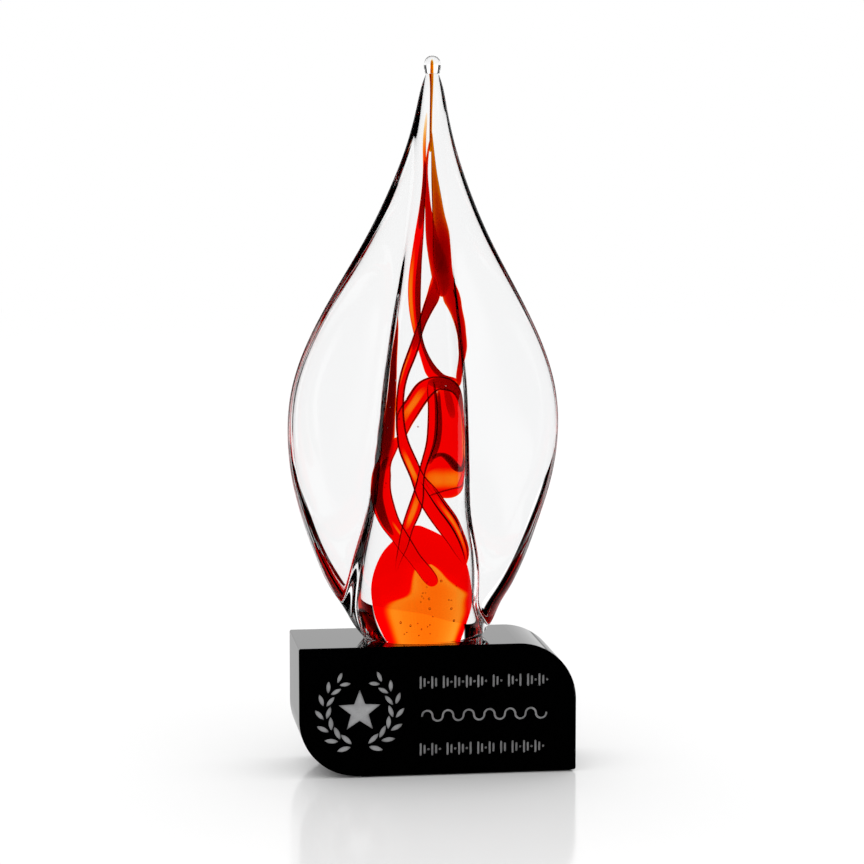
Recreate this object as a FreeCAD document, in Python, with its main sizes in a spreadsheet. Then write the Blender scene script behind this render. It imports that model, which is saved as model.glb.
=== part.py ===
"""Art glass flame award: a clear glass flame with a coloured core, glued on a black plinth.

Millimetres, +Z up, front facing -Y.  The origin is on the surface that the award stands on,
below the middle of the plinth.
"""
import FreeCAD, Part
import math
import os
import Sketcher

Vector = FreeCAD.Vector
Placement = FreeCAD.Placement
Rotation = FreeCAD.Rotation
X_AXIS = Vector(1, 0, 0)
Y_AXIS = Vector(0, 1, 0)
Z_AXIS = Vector(0, 0, 1)

doc = FreeCAD.newDocument("crystal_award")

# ------------------------------------------------------------------ driving dimensions
DIMENSIONS = [
    ("plinth_width", 120.0),
    ("plinth_depth", 46.0),
    ("plinth_height", 56.0),
    ("plinth_radius", 25.0),
    ("plinth_chamfer", 0.6),
    ("felt_thickness", 0.8),
    ("felt_inset", 2.0),
    ("glue_thickness", 0.2),
    ("flame_height", 250.5),
    ("flame_width", 117.8),
    ("column_width", 60.0),
    ("column_depth", 47.0),
    ("wing_thickness", 27.0),
    ("nub_width", 7.4),
    ("foot_width", 50.6),
    ("foot_depth", 34.8),
    ("foot_offset", -3.7),
    ("emblem_x", -34.0),
    ("emblem_z", 29.0),
    ("star_radius", 9.6),
    ("wreath_radius", 15.2),
    ("leaf_length", 6.4),
    ("carving_depth", 1.2),
    ("fill_thickness", 0.5),
    ("line_start", -8.6),
    ("line_rise", 14.6),
    ("first_line", 11.7),
    ("stroke_width", 0.9),
]

sheet = doc.addObject("Spreadsheet::Sheet", "Dims")
for row, (alias, value) in enumerate(DIMENSIONS, start=1):
    sheet.set("A%d" % row, alias)
    sheet.set("B%d" % row, str(value))
    sheet.setAlias("B%d" % row, alias)
doc.recompute()


def dim(alias):
    return float(sheet.get(alias))


parts = {}


def keep(name, feature):
    """Label a finished sub-part and list it for export."""
    feature.Label = name
    parts[name] = feature
    return feature


# ------------------------------------------------------------------ sketch helpers
def origin_plane(body, role):
    return [item for item in body.Origin.OriginFeatures if item.Role == role][0]


def new_sketch(body, name, role, offset=0.0):
    """A sketch on one of the body's own origin planes, moved along the plane's normal."""
    sketch = body.newObject("Sketcher::SketchObject", name)
    sketch.AttachmentSupport = [(origin_plane(body, role), "")]
    sketch.MapMode = "FlatFace"
    sketch.AttachmentOffset = Placement(Vector(0, 0, offset), Rotation())
    return sketch


def line(start, end):
    return Part.LineSegment(Vector(*start, 0), Vector(*end, 0))


def arc(centre, radius, start, end):
    """A circular arc, anticlockwise between two angles in radians."""
    circle = Part.Circle(Vector(*centre, 0), Z_AXIS, radius)
    return Part.ArcOfCircle(circle, start, end)


def arc_through(start, middle, end):
    return Part.Arc(Vector(*start, 0), Vector(*middle, 0), Vector(*end, 0))


def join_in_loop(sketch, first, count):
    """Coincident end points for consecutive pieces of a closed outline."""
    for step in range(count):
        this = first + step
        following = first + (step + 1) % count
        sketch.addConstraint(Sketcher.Constraint("Coincident", this, 2, following, 1))


# ------------------------------------------------------------------ carved ornament outlines
def star_outline():
    """Five-pointed star, one point up."""
    centre_x, centre_z, radius = dim("emblem_x"), dim("emblem_z"), dim("star_radius")
    corners = []
    for step in range(10):
        reach = radius if step % 2 == 0 else radius * 0.42
        angle = math.radians(90 + 36 * step)
        corners.append((centre_x + reach * math.cos(angle), centre_z + reach * math.sin(angle)))
    return [[line(corners[i], corners[(i + 1) % 10]) for i in range(10)]]


def leaf(root, angle, length):
    """A pointed leaf of two arcs that grows from root in the direction of angle."""
    width = 0.17 * length
    along = (math.cos(angle), math.sin(angle))
    tip = (root[0] + length * along[0], root[1] + length * along[1])
    middle = ((root[0] + tip[0]) / 2, (root[1] + tip[1]) / 2)
    left = (middle[0] - width * along[1], middle[1] + width * along[0])
    right = (middle[0] + width * along[1], middle[1] - width * along[0])
    return [arc_through(root, right, tip), arc_through(tip, left, root)]


def wreath_outline():
    """Two laurel branches that rise from the bottom and almost meet at the top."""
    centre_x, centre_z, radius = dim("emblem_x"), dim("emblem_z"), dim("wreath_radius")
    length = dim("leaf_length")
    pairs = 7
    loops = []
    for side in (-1, 1):
        for step in range(pairs):
            around = math.radians(-90 + side * (14 + 21.5 * step))
            heading = around + side * math.pi / 2
            for lean, reach in ((0.52, 0.6), (-0.52, -0.6)):
                root = (centre_x + (radius + side * reach) * math.cos(around),
                        centre_z + (radius + side * reach) * math.sin(around))
                loops.append(leaf(root, heading - lean, length * (1.0 - 0.035 * step)))
    return loops


def bead(centre, radius):
    return [Part.Circle(Vector(*centre, 0), Z_AXIS, radius)]


def reel(centre, height, width):
    """An upright stroke with round ends."""
    x, z = centre
    radius = width / 2
    half = height / 2 - radius
    return [
        arc((x, z + half), radius, 0, math.pi),
        line((x - radius, z + half), (x - radius, z - half)),
        arc((x, z - half), radius, math.pi, 2 * math.pi),
        line((x + radius, z - half), (x + radius, z + half)),
    ]


def bead_and_reel_outline(row, groups):
    """A bead-and-reel band in groups: two reels and a bead, repeated."""
    z = dim("first_line") + row * dim("line_rise")
    width = dim("stroke_width")
    pitch = 1.85 * width
    x = dim("line_start") + width
    loops = []
    for count in groups:
        for step in range(count):
            if step % 3 == 2:
                loops.append(bead((x, z), 0.62 * width))
            else:
                loops.append(reel((x, z), (5.6, 4.0)[step % 3], width))
            x += pitch
        x += pitch
    return loops


def wave_outline():
    """A running wave of half rings with round ends."""
    z = dim("first_line") + dim("line_rise")
    half = dim("stroke_width") / 2
    radius = 2.25
    turns = 12
    start = dim("line_start") + 1.5
    upper = []
    lower = []
    for step in range(turns):
        centre = (start + radius * (2 * step + 1), z)
        if step % 2 == 0:
            upper.append(arc(centre, radius + half, 0, math.pi))
            lower.append(arc(centre, radius - half, 0, math.pi))
        else:
            upper.append(arc(centre, radius - half, math.pi, 2 * math.pi))
            lower.append(arc(centre, radius + half, math.pi, 2 * math.pi))
    last = start + 2 * radius * turns
    caps = [arc((start, z), half, math.pi, 2 * math.pi), arc((last, z), half, 0, math.pi)]
    return [upper + lower + caps]


ORNAMENTS = {
    "star_fill": star_outline(),
    "wreath_fill": wreath_outline(),
    "upper_band_fill": bead_and_reel_outline(2, (5, 12, 3, 4, 6)),
    "wave_fill": wave_outline(),
    "lower_band_fill": bead_and_reel_outline(0, (6, 7, 5, 2, 9)),
}


def draw(sketch, loops):
    for loop in loops:
        for piece in loop:
            sketch.addGeometry(piece, False)


# ------------------------------------------------------------------ plinth
def plinth_profile(sketch):
    """Front outline: square corners top left and bottom right, round ones on the other two."""
    half, radius = dim("plinth_width") / 2, dim("plinth_radius")
    low = dim("felt_thickness")
    high = low + dim("plinth_height")
    sketch.addGeometry([
        line((radius - half, low), (half, low)),
        line((half, low), (half, high - radius)),
        arc((half - radius, high - radius), radius, 0, math.pi / 2),
        line((half - radius, high), (-half, high)),
        line((-half, high), (-half, low + radius)),
        arc((radius - half, low + radius), radius, math.pi, 1.5 * math.pi),
    ], False)
    join_in_loop(sketch, 0, 6)
    for straight, curve, ends in ((1, 2, (2, 1)), (3, 2, (1, 2)), (4, 5, (2, 1)), (0, 5, (1, 2))):
        index = [i for i, rule in enumerate(sketch.Constraints)
                 if rule.Type == "Coincident" and {rule.First, rule.Second} == {straight, curve}][0]
        sketch.delConstraint(index)
        sketch.addConstraint(Sketcher.Constraint("Tangent", straight, ends[0], curve, ends[1]))
    for index in (0, 3):
        sketch.addConstraint(Sketcher.Constraint("Horizontal", index))
    for index in (1, 4):
        sketch.addConstraint(Sketcher.Constraint("Vertical", index))
    for name, rule, alias in (
        ("corner", Sketcher.Constraint("Radius", 2, radius), "plinth_radius"),
        ("other_corner", Sketcher.Constraint("Radius", 5, radius), "plinth_radius"),
        ("width", Sketcher.Constraint("DistanceX", 3, 2, 1, 1, 2 * half), "plinth_width"),
        ("height", Sketcher.Constraint("DistanceY", 0, 2, 3, 2, high - low), "plinth_height"),
        ("right", Sketcher.Constraint("DistanceX", -1, 1, 1, 1, half), "plinth_width / 2"),
        ("lift", Sketcher.Constraint("DistanceY", -1, 1, 0, 2, low), "felt_thickness"),
    ):
        place = sketch.addConstraint(rule)
        sketch.renameConstraint(place, name)
        sketch.setExpression("Constraints." + name, "Dims." + alias)


def make_plinth():
    body = doc.addObject("PartDesign::Body", "Plinth")
    profile = new_sketch(body, "PlinthProfile", "XZ_Plane")
    plinth_profile(profile)
    block = body.newObject("PartDesign::Pad", "PlinthBlock")
    block.Profile = profile
    block.Midplane = True
    block.setExpression("Length", "Dims.plinth_depth")
    doc.recompute()
    polish = body.newObject("PartDesign::Chamfer", "PolishedArris")
    polish.Base = (block, ["Edge%d" % (i + 1) for i in range(len(block.Shape.Edges))])
    polish.setExpression("Size", "Dims.plinth_chamfer")
    doc.recompute()
    for name, loops in ORNAMENTS.items():
        before = body.Shape.Volume
        outline = new_sketch(body, name + "_carving", "XZ_Plane", dim("plinth_depth") / 2)
        outline.setExpression("AttachmentOffset.Base.z", "Dims.plinth_depth / 2")
        draw(outline, loops)
        carving = body.newObject("PartDesign::Pocket", name + "_pocket")
        carving.Profile = outline
        carving.setExpression("Length", "Dims.carving_depth")
        doc.recompute()
        removed = before - body.Shape.Volume
        if removed < 1.0:
            raise RuntimeError("the carving for %s removed nothing" % name)
    return keep("plinth", body)


def make_fill(name, loops):
    """Silver-grey fill on the floor of a carving."""
    body = doc.addObject("PartDesign::Body", name + "_body")
    outline = new_sketch(body, name + "_outline", "XZ_Plane")
    outline.setExpression("AttachmentOffset.Base.z", "Dims.plinth_depth / 2 - Dims.carving_depth")
    draw(outline, loops)
    layer = body.newObject("PartDesign::Pad", name + "_layer")
    layer.Profile = outline
    layer.setExpression("Length", "Dims.fill_thickness")
    return keep(name, body)


def make_felt():
    """Thin felt sheet under the flat part of the plinth's lower face."""
    body = doc.addObject("PartDesign::Body", "Felt")
    outline = new_sketch(body, "FeltOutline", "XY_Plane")
    inset = dim("felt_inset")
    left = dim("plinth_radius") - dim("plinth_width") / 2 + inset
    right = dim("plinth_width") / 2 - inset
    front = inset - dim("plinth_depth") / 2
    corners = [(left, front), (right, front), (right, -front), (left, -front)]
    outline.addGeometry([line(corners[i], corners[(i + 1) % 4]) for i in range(4)], False)
    join_in_loop(outline, 0, 4)
    for index in (0, 2):
        outline.addConstraint(Sketcher.Constraint("Horizontal", index))
    for index in (1, 3):
        outline.addConstraint(Sketcher.Constraint("Vertical", index))
    for name, rule, formula in (
        ("right", Sketcher.Constraint("DistanceX", -1, 1, 1, 1, right),
         "Dims.plinth_width / 2 - Dims.felt_inset"),
        ("left", Sketcher.Constraint("DistanceX", 0, 1, -1, 1, -left),
         "Dims.plinth_width / 2 - Dims.plinth_radius - Dims.felt_inset"),
        ("back", Sketcher.Constraint("DistanceY", -1, 1, 2, 1, -front),
         "Dims.plinth_depth / 2 - Dims.felt_inset"),
        ("front", Sketcher.Constraint("DistanceY", 0, 1, -1, 1, -front),
         "Dims.plinth_depth / 2 - Dims.felt_inset"),
    ):
        place = outline.addConstraint(rule)
        outline.renameConstraint(place, name)
        outline.setExpression("Constraints." + name, formula)
    sheet_pad = body.newObject("PartDesign::Pad", "FeltSheet")
    sheet_pad.Profile = outline
    sheet_pad.setExpression("Length", "Dims.felt_thickness")
    return keep("felt_pad", body)


# ------------------------------------------------------------------ free-form glass
# Blown glass has no flat or turned faces, so its solids are skins over closed rings of points.
def smooth_curve(points, closed):
    """A curve through the points, with evenly spaced parameters so that all curves match."""
    spans = len(points) if closed else len(points) - 1
    curve = Part.BSplineCurve()
    curve.interpolate(Points=points, PeriodicFlag=closed,
                      Parameters=[step / spans for step in range(spans + 1)])
    return curve


def skinned_solid(rings):
    """A solid with one smooth side through all the rings and a flat face on each end ring."""
    around = [smooth_curve(ring, True) for ring in rings]
    along = [smooth_curve(list(row), False) for row in zip(*[ring.getPoles() for ring in around])]
    surface = Part.BSplineSurface()
    surface.buildFromPolesMultsKnots(
        [row.getPoles() for row in along],
        around[0].getMultiplicities(), along[0].getMultiplicities(),
        around[0].getKnots(), along[0].getKnots(),
        True, False, around[0].Degree, along[0].Degree)
    side = surface.toShape()
    ends = [Part.Face(Part.Wire([edge])) for edge in side.Edges if edge.isClosed()]
    shell = Part.makeShell([side] + ends)
    shell.sewShape()
    solid = Part.makeSolid(shell)
    if solid.Volume < 0:
        solid.reverse()
    return solid


def ellipse_ring(centre, across, deep, half_width, half_depth):
    """Points of an ellipse in the plane of the unit vectors across and deep."""
    count = 12
    return [centre
            + across * (half_width * math.cos(2 * math.pi * step / count))
            + deep * (half_depth * math.sin(2 * math.pi * step / count))
            for step in range(count)]


# ------------------------------------------------------------------ flame
FOOT = dim("felt_thickness") + dim("plinth_height") + dim("glue_thickness")


def make_glue():
    """Clear adhesive between the flame's foot and the plinth."""
    rim = doc.addObject("Part::Ellipse", "GlueRim")
    rim.setExpression("MajorRadius", "Dims.foot_width / 2")
    rim.setExpression("MinorRadius", "Dims.foot_depth / 2")
    rim.setExpression("Placement.Base.x", "Dims.foot_offset")
    rim.setExpression("Placement.Base.z", "Dims.felt_thickness + Dims.plinth_height")
    film = doc.addObject("Part::Extrusion", "GlueFilm")
    film.Base = rim
    film.DirMode = "Custom"
    film.Dir = Z_AXIS
    film.Solid = True
    film.setExpression("LengthFwd", "Dims.glue_thickness")
    return keep("glue_film", film)


# Sections of the clear glass, from the foot up.  Each gives the height above the foot, the
# middle of the section in X (mm), the half width over the wings, the wings' half thickness,
# how far the middle of the round column is to the right of the wings' middle (mm), and the
# column's half width and half depth.  All but the two in mm are parts of the flame's height,
# half width, wing half thickness, column half width and column half depth.
FLAME_SECTIONS = [
    (0.000, -3.7, 0.440, 0.890, 0.0, 0.863, 0.766),
    (0.025, -3.8, 0.520, 0.965, -1.9, 0.890, 0.874),
    (0.055, -4.2, 0.586, 1.000, -3.2, 0.890, 0.949),
    (0.090, -4.4, 0.680, 0.963, -2.9, 0.893, 0.989),
    (0.144, -4.4, 0.786, 0.890, -2.2, 0.855, 1.000),
    (0.210, -4.2, 0.883, 0.815, -1.8, 0.740, 0.980),
    (0.280, -3.8, 0.964, 0.760, -1.2, 0.685, 0.920),
    (0.360, -3.4, 1.000, 0.720, -0.6, 0.640, 0.850),
    (0.440, -3.2, 0.966, 0.680, -0.1, 0.595, 0.766),
    (0.520, -2.9, 0.848, 0.640, 0.0, 0.520, 0.664),
    (0.600, -2.4, 0.672, 0.610, 0.0, 0.433, 0.553),
    (0.680, -1.7, 0.480, 0.565, 0.0, 0.350, 0.425),
    (0.760, -1.0, 0.318, 0.490, 0.0, 0.283, 0.315),
    (0.840, -0.3, 0.190, 0.385, 0.0, 0.200, 0.218),
    (0.905, 0.1, 0.118, 0.311, 0.0, 0.146, 0.162),
    (0.945, 0.3, 0.082, 0.262, 0.0, 0.108, 0.138),
    (0.970, 0.4, 0.045, 0.193, 0.0, 0.070, 0.112),
]
WING_SHAPE = 2.6
WING_ROUNDING = 1.6
BLEND = 4.0
POINTS_ROUND = 40


def section_ring(section):
    """One level outline: two thin wings blended into a round column."""
    level, middle, width, wing, shift, column, depth = section
    half_width = width * dim("flame_width") / 2
    half_wing = wing * dim("wing_thickness") / 2
    half_column = column * dim("column_width") / 2
    half_depth = depth * dim("column_depth") / 2
    points = []
    for step in range(POINTS_ROUND):
        angle = 2 * math.pi * step / POINTS_ROUND
        across = math.cos(angle)
        wing_here = half_wing * max(0.0, 1 - abs(across) ** WING_SHAPE) ** (1 / WING_ROUNDING)
        inside = min(1.0, abs(across * half_width - shift) / half_column)
        column_here = half_depth * math.sqrt(1 - inside * inside)
        reach = (wing_here ** BLEND + column_here ** BLEND) ** (1 / BLEND)
        y = math.copysign(reach, math.sin(angle))
        points.append(Vector(middle + half_width * across, y, level * dim("flame_height")))
    return points


def make_flame_outside():
    """The whole flame: lofted body and the small round nub at its tip."""
    body = doc.addObject("Part::Feature", "FlameBody")
    body.Shape = skinned_solid([section_ring(section) for section in FLAME_SECTIONS])
    top = dim("flame_height")
    wide = dim("nub_width") / 2
    profile = Part.BSplineCurve()
    profile.interpolate([
        Vector(0.80 * wide, 0, top - 9.5),
        Vector(0.84 * wide, 0, top - 7.6),
        Vector(0.97 * wide, 0, top - 5.2),
        Vector(0.98 * wide, 0, top - 3.4),
        Vector(0.74 * wide, 0, top - 1.2),
        Vector(0.30 * wide, 0, top - 0.15),
        Vector(0, 0, top),
    ])
    closing = Part.makePolygon([Vector(0, 0, top), Vector(0, 0, top - 9.5),
                                Vector(0.80 * wide, 0, top - 9.5)])
    outline = doc.addObject("Part::Feature", "NubProfile")
    outline.Shape = Part.Face(Part.Wire([profile.toShape()] + closing.Edges))
    nub = doc.addObject("Part::Revolution", "Nub")
    nub.Source = outline
    nub.Axis = Z_AXIS
    nub.Angle = 360
    nub.Placement = Placement(Vector(FLAME_SECTIONS[-1][1], 0, 0), Rotation())
    whole = doc.addObject("Part::Fuse", "FlameOutside")
    whole.Base = body
    whole.Tool = nub
    whole.Placement = Placement(Vector(0, 0, FOOT), Rotation())
    return whole


# ------------------------------------------------------------------ coloured core
# The strands' middle lines and sizes: x, y, z, width across, thickness.
STRANDS = {
    "tip_thread": [
        (0.3, 0.0, 305.5, 1.0, 1.0), (0.2, 0.0, 296.0, 1.0, 1.0), (-0.1, 0.0, 286.4, 0.9, 1.0),
        (-0.3, 0.0, 277.9, 0.9, 1.0), (-0.4, 0.0, 271.5, 0.9, 1.0), (-0.6, 0.0, 266.4, 0.8, 0.9),
    ],
    "amber_leaf": [
        (0.1, 1.2, 275.3, 0.3, 0.5), (0.2, 1.3, 271.9, 0.7, 0.7), (0.5, 1.7, 265.0, 1.2, 1.0),
        (0.9, 2.2, 256.4, 2.0, 1.3), (1.5, 2.7, 247.9, 3.0, 1.5), (2.2, 3.0, 238.5, 4.2, 1.6),
        (3.0, 3.1, 231.6, 5.8, 1.5), (3.1, 3.1, 225.2, 6.2, 1.2), (3.0, 3.0, 219.2, 5.7, 0.9),
        (2.7, 2.8, 214.0, 4.0, 0.6),
    ],
    "red_leaf": [
        (-0.9, -1.4, 271.6, 0.7, 0.6), (-1.9, -1.5, 263.5, 0.9, 0.9), (-2.2, -1.4, 256.2, 1.2, 1.2),
        (-2.0, -1.5, 249.4, 1.7, 1.5), (-1.7, -1.6, 243.0, 2.2, 1.7), (-1.2, -1.7, 236.7, 3.1, 1.8),
        (-0.5, -1.7, 229.8, 4.1, 1.9), (0.8, -1.7, 223.4, 5.6, 1.9), (2.0, -1.7, 217.4, 6.6, 1.8),
        (2.6, -1.7, 212.2, 6.4, 1.7), (2.6, -1.7, 207.9, 4.5, 1.6), (2.4, -1.7, 204.5, 2.2, 1.2),
    ],
    "right_loop": [
        (1.5, 6.0, 248.9, 2.3, 0.4), (1.9, 6.0, 242.1, 3.2, 0.5), (2.5, 6.0, 235.3, 4.3, 0.8),
        (3.1, 5.8, 228.4, 5.6, 1.4), (3.2, 5.6, 221.1, 6.1, 1.8), (3.5, 5.4, 214.3, 6.1, 2.0),
        (5.0, 5.2, 208.7, 7.2, 2.0), (7.2, 5.0, 204.0, 10.0, 2.0), (8.6, 4.8, 198.8, 9.4, 2.0),
        (10.1, 4.4, 192.8, 8.8, 2.0), (11.0, 4.0, 187.0, 8.1, 2.0), (11.0, 3.4, 181.0, 7.6, 2.0),
        (9.1, 2.6, 175.8, 4.3, 1.8), (7.8, 1.8, 170.6, 3.2, 1.6), (7.2, 1.2, 165.7, 2.1, 1.2),
    ],
    "left_ribbon": [
        (-2.1, -2.2, 283.5, 1.0, 0.9), (-2.9, -2.6, 275.9, 1.3, 1.0), (-3.3, -3.2, 268.3, 1.4, 1.1),
        (-3.3, -3.8, 260.2, 1.4, 1.3), (-3.7, -4.4, 251.8, 1.7, 1.6), (-4.5, -5.0, 243.3, 2.3, 2.0),
        (-5.7, -5.6, 232.3, 3.6, 2.4), (-6.8, -6.0, 222.1, 4.5, 2.6), (-7.5, -6.2, 213.1, 5.2, 2.6),
        (-7.6, -6.4, 204.1, 5.0, 2.4), (-7.0, -6.6, 195.1, 3.9, 2.4), (-5.9, -6.6, 187.6, 2.8, 2.4),
        (-4.4, -6.6, 181.4, 2.9, 2.4), (-2.6, -6.4, 176.0, 3.9, 2.4), (-0.7, -6.2, 172.1, 4.9, 2.2),
        (1.9, -5.8, 170.0, 4.0, 2.2), (4.8, -5.2, 169.1, 3.3, 2.0), (7.8, -4.6, 168.9, 2.6, 1.6),
    ],
    "long_strand": [
        (0.4, 1.4, 214.6, 2.4, 1.2), (0.0, 1.6, 205.9, 3.8, 1.8), (-1.2, 1.6, 200.8, 3.5, 2.2),
        (-2.8, 1.4, 195.4, 2.7, 2.4), (-4.6, 1.0, 188.8, 2.5, 2.4), (-6.5, 0.0, 181.4, 3.2, 2.6),
        (-9.1, -1.2, 173.6, 3.2, 2.6), (-11.0, -2.4, 166.4, 3.0, 2.6),
        (-11.9, -3.6, 159.7, 3.1, 2.6), (-12.2, -4.8, 153.0, 3.4, 2.6),
        (-11.9, -6.2, 145.8, 4.0, 2.8), (-11.0, -7.6, 139.8, 4.9, 2.8),
        (-9.0, -9.0, 133.5, 5.1, 3.0), (-6.9, -10.4, 127.4, 5.5, 3.0),
        (-4.3, -12.0, 121.7, 8.1, 3.2), (-0.5, -13.4, 114.7, 9.3, 3.2),
        (3.8, -14.6, 108.5, 10.1, 3.2), (7.8, -15.4, 102.2, 9.4, 3.0),
        (10.7, -15.8, 96.1, 7.6, 2.6), (12.4, -15.8, 90.4, 4.1, 1.8),
    ],
    "arch_ribbon": [
        (-9.5, 3.0, 142.1, 2.9, 1.2), (-8.7, 3.2, 148.8, 4.8, 1.8), (-7.4, 3.4, 153.9, 6.1, 2.2),
        (-5.6, 3.6, 157.9, 5.8, 2.4), (-3.5, 3.8, 162.6, 6.0, 2.4), (-1.3, 4.0, 165.9, 6.3, 2.4),
        (1.4, 4.0, 166.9, 6.0, 2.2), (4.0, 4.0, 165.7, 4.9, 2.0), (6.0, 4.0, 163.3, 3.2, 1.8),
        (7.5, 3.8, 158.4, 2.3, 1.6), (8.3, 3.6, 151.9, 1.7, 1.6), (8.6, 3.4, 145.1, 1.6, 1.8),
        (8.6, 3.4, 137.8, 1.6, 1.8), (8.0, 3.6, 130.6, 1.5, 1.8), (6.9, 3.8, 125.6, 2.0, 1.6),
        (5.1, 4.0, 121.8, 1.9, 1.2),
    ],
    "crossing_strand": [
        (-1.2, -1.8, 170.1, 1.6, 1.2), (-1.2, -1.6, 165.4, 2.9, 1.8), (-0.9, -1.4, 159.4, 3.1, 2.0),
        (-0.9, -1.4, 152.9, 3.2, 2.0), (-1.2, -1.6, 146.5, 3.2, 2.0), (-2.0, -2.0, 140.4, 2.9, 2.0),
        (-3.7, -2.8, 133.6, 2.4, 2.2), (-5.1, -3.6, 127.0, 2.3, 2.4), (-6.1, -4.8, 120.2, 3.7, 2.4),
        (-8.0, -6.4, 112.8, 4.7, 2.4), (-10.5, -8.0, 106.0, 4.2, 2.2),
        (-12.5, -9.4, 98.9, 3.8, 2.0), (-14.6, -10.6, 92.8, 2.3, 1.4),
        (-16.0, -11.4, 87.6, 1.2, 0.8),
    ],
    "low_strand": [
        (-12.4, -3.2, 144.6, 3.2, 1.4), (-14.8, -3.8, 139.4, 4.0, 2.0),
        (-18.1, -4.4, 135.2, 7.0, 2.6), (-20.6, -5.0, 130.5, 10.4, 2.8),
        (-21.4, -5.4, 125.1, 11.3, 2.8), (-21.3, -6.2, 119.4, 11.6, 2.8),
        (-19.9, -8.0, 113.9, 10.4, 3.0), (-18.1, -11.0, 108.7, 8.6, 3.0),
        (-15.3, -13.6, 103.8, 7.1, 3.0), (-12.3, -15.8, 98.6, 6.3, 3.0),
        (-9.1, -17.2, 93.6, 5.5, 2.8), (-5.7, -17.8, 88.9, 5.9, 2.8), (-3.0, -17.8, 85.0, 5.7, 2.6),
        (-1.3, -17.6, 82.3, 3.9, 1.8),
    ],
    "maroon_veil": [
        (-11.7, 4.4, 195.9, 0.9, 0.6), (-11.9, 4.4, 187.7, 2.9, 1.2), (-12.7, 4.4, 179.1, 4.3, 1.6),
        (-12.9, 4.6, 169.2, 4.9, 1.8), (-13.3, 4.8, 159.7, 5.7, 1.8), (-13.9, 5.0, 151.1, 6.7, 1.8),
        (-14.6, 5.2, 143.3, 8.0, 1.8), (-15.3, 5.4, 135.4, 8.1, 1.6), (-15.3, 5.6, 128.3, 5.4, 1.2),
    ],
}
# The red panel is a flat sheet: level sections with x, y, z, width, thickness.
PANEL_SECTIONS = [
    (2.9, 8.0, 165.5, 4.1, 1.2), (3.4, 8.2, 161.6, 5.5, 1.8), (3.6, 8.4, 156.4, 6.1, 2.0),
    (3.7, 8.6, 150.4, 6.3, 2.0), (3.5, 8.8, 143.5, 6.7, 2.2), (3.0, 8.8, 137.0, 7.7, 2.2),
    (2.3, 8.6, 131.4, 9.2, 2.2), (1.9, 8.4, 126.6, 9.6, 2.2), (1.9, 8.2, 122.7, 8.9, 2.0),
    (1.9, 8.0, 119.5, 6.7, 1.8), (1.7, 7.8, 116.7, 3.7, 1.2),
]
# The colour bulb sits on the foot: x, z above the foot, half width, half depth.
BULB_SECTIONS = [
    (-3.3, 0.0, 12.6, 10.8), (-4.0, 6.0, 14.6, 12.0), (-4.3, 11.5, 16.2, 13.0),
    (-4.5, 17.0, 17.0, 13.4), (-4.9, 22.0, 16.8, 13.2), (-5.0, 27.5, 15.8, 12.4),
    (-4.9, 32.5, 14.2, 11.2), (-4.9, 37.0, 12.0, 9.6), (-4.9, 41.0, 9.2, 7.8),
    (-5.2, 44.5, 6.2, 5.6), (-5.7, 47.2, 3.4, 3.4), (-6.3, 49.0, 1.2, 1.2),
]
GATHER_SECTIONS = [
    (-3.4, 0.0, 12.1, 9.2), (-3.7, 6.0, 14.0, 10.4), (-3.9, 11.0, 15.5, 11.2),
    (-4.1, 15.0, 15.9, 11.4), (-3.0, 18.0, 15.0, 10.8), (-0.9, 20.5, 12.4, 10.0),
    (-1.9, 24.0, 9.6, 8.8), (-3.3, 27.5, 7.4, 7.2), (-4.2, 31.0, 5.4, 5.4),
    (-5.0, 33.6, 3.0, 3.2),
]


def glass_feature(name, rings):
    feature = doc.addObject("Part::Feature", name + "_glass")
    feature.Shape = skinned_solid(rings)
    return feature


def make_strand(name, stations):
    """A flattened cane whose broad side faces the front along its whole path."""
    centres = [Vector(*station[:3]) for station in stations]
    rings = []
    for number, station in enumerate(stations):
        before = centres[max(number - 1, 0)]
        after = centres[min(number + 1, len(centres) - 1)]
        along = (after - before).normalize()
        across = along.cross(Y_AXIS).normalize()
        deep = along.cross(across)
        rings.append(ellipse_ring(centres[number], across, deep, station[3] / 2, station[4] / 2))
    return keep(name, glass_feature(name, rings))


def make_panel():
    rings = [ellipse_ring(Vector(x, y, z), X_AXIS, Y_AXIS, width / 2, thickness / 2)
             for x, y, z, width, thickness in PANEL_SECTIONS]
    return keep("red_panel", glass_feature("red_panel", rings))


def make_bulb():
    """The clear first gather and the thin coloured overlay around it."""
    whole, gather = [
        glass_feature(name, [ellipse_ring(Vector(x, 0, FOOT + z), X_AXIS, Y_AXIS, wide, deep)
                             for x, z, wide, deep in sections])
        for name, sections in (("bulb", BULB_SECTIONS), ("gather", GATHER_SECTIONS))]
    overlay = doc.addObject("Part::Cut", "OverlayCut")
    overlay.Base = whole
    overlay.Tool = gather
    keep("first_gather", gather)
    keep("colour_overlay", overlay)
    return whole


def make_casing(outside, inclusions):
    """The clear glass with the room that the coloured core takes up."""
    core = doc.addObject("Part::Compound", "Core")
    core.Links = inclusions
    casing = doc.addObject("Part::Cut", "Casing")
    casing.Base = outside
    casing.Tool = core
    return keep("flame_casing", casing)


make_plinth()
for fill_name, fill_loops in ORNAMENTS.items():
    make_fill(fill_name, fill_loops)
make_felt()
make_glue()
strands = [make_strand(name, stations) for name, stations in STRANDS.items()]
panel = make_panel()
bulb = make_bulb()
make_casing(make_flame_outside(), strands + [panel, bulb])
doc.recompute()

# ------------------------------------------------------------------ checks and export
for item in doc.Objects:
    if "Invalid" in item.State or "Error" in item.State:
        raise RuntimeError("%s failed: %s" % (item.Name, item.State))
for name, part in parts.items():
    if part.Shape.isNull() or not part.Shape.isValid():
        raise RuntimeError("%s has no valid shape" % name)

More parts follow.
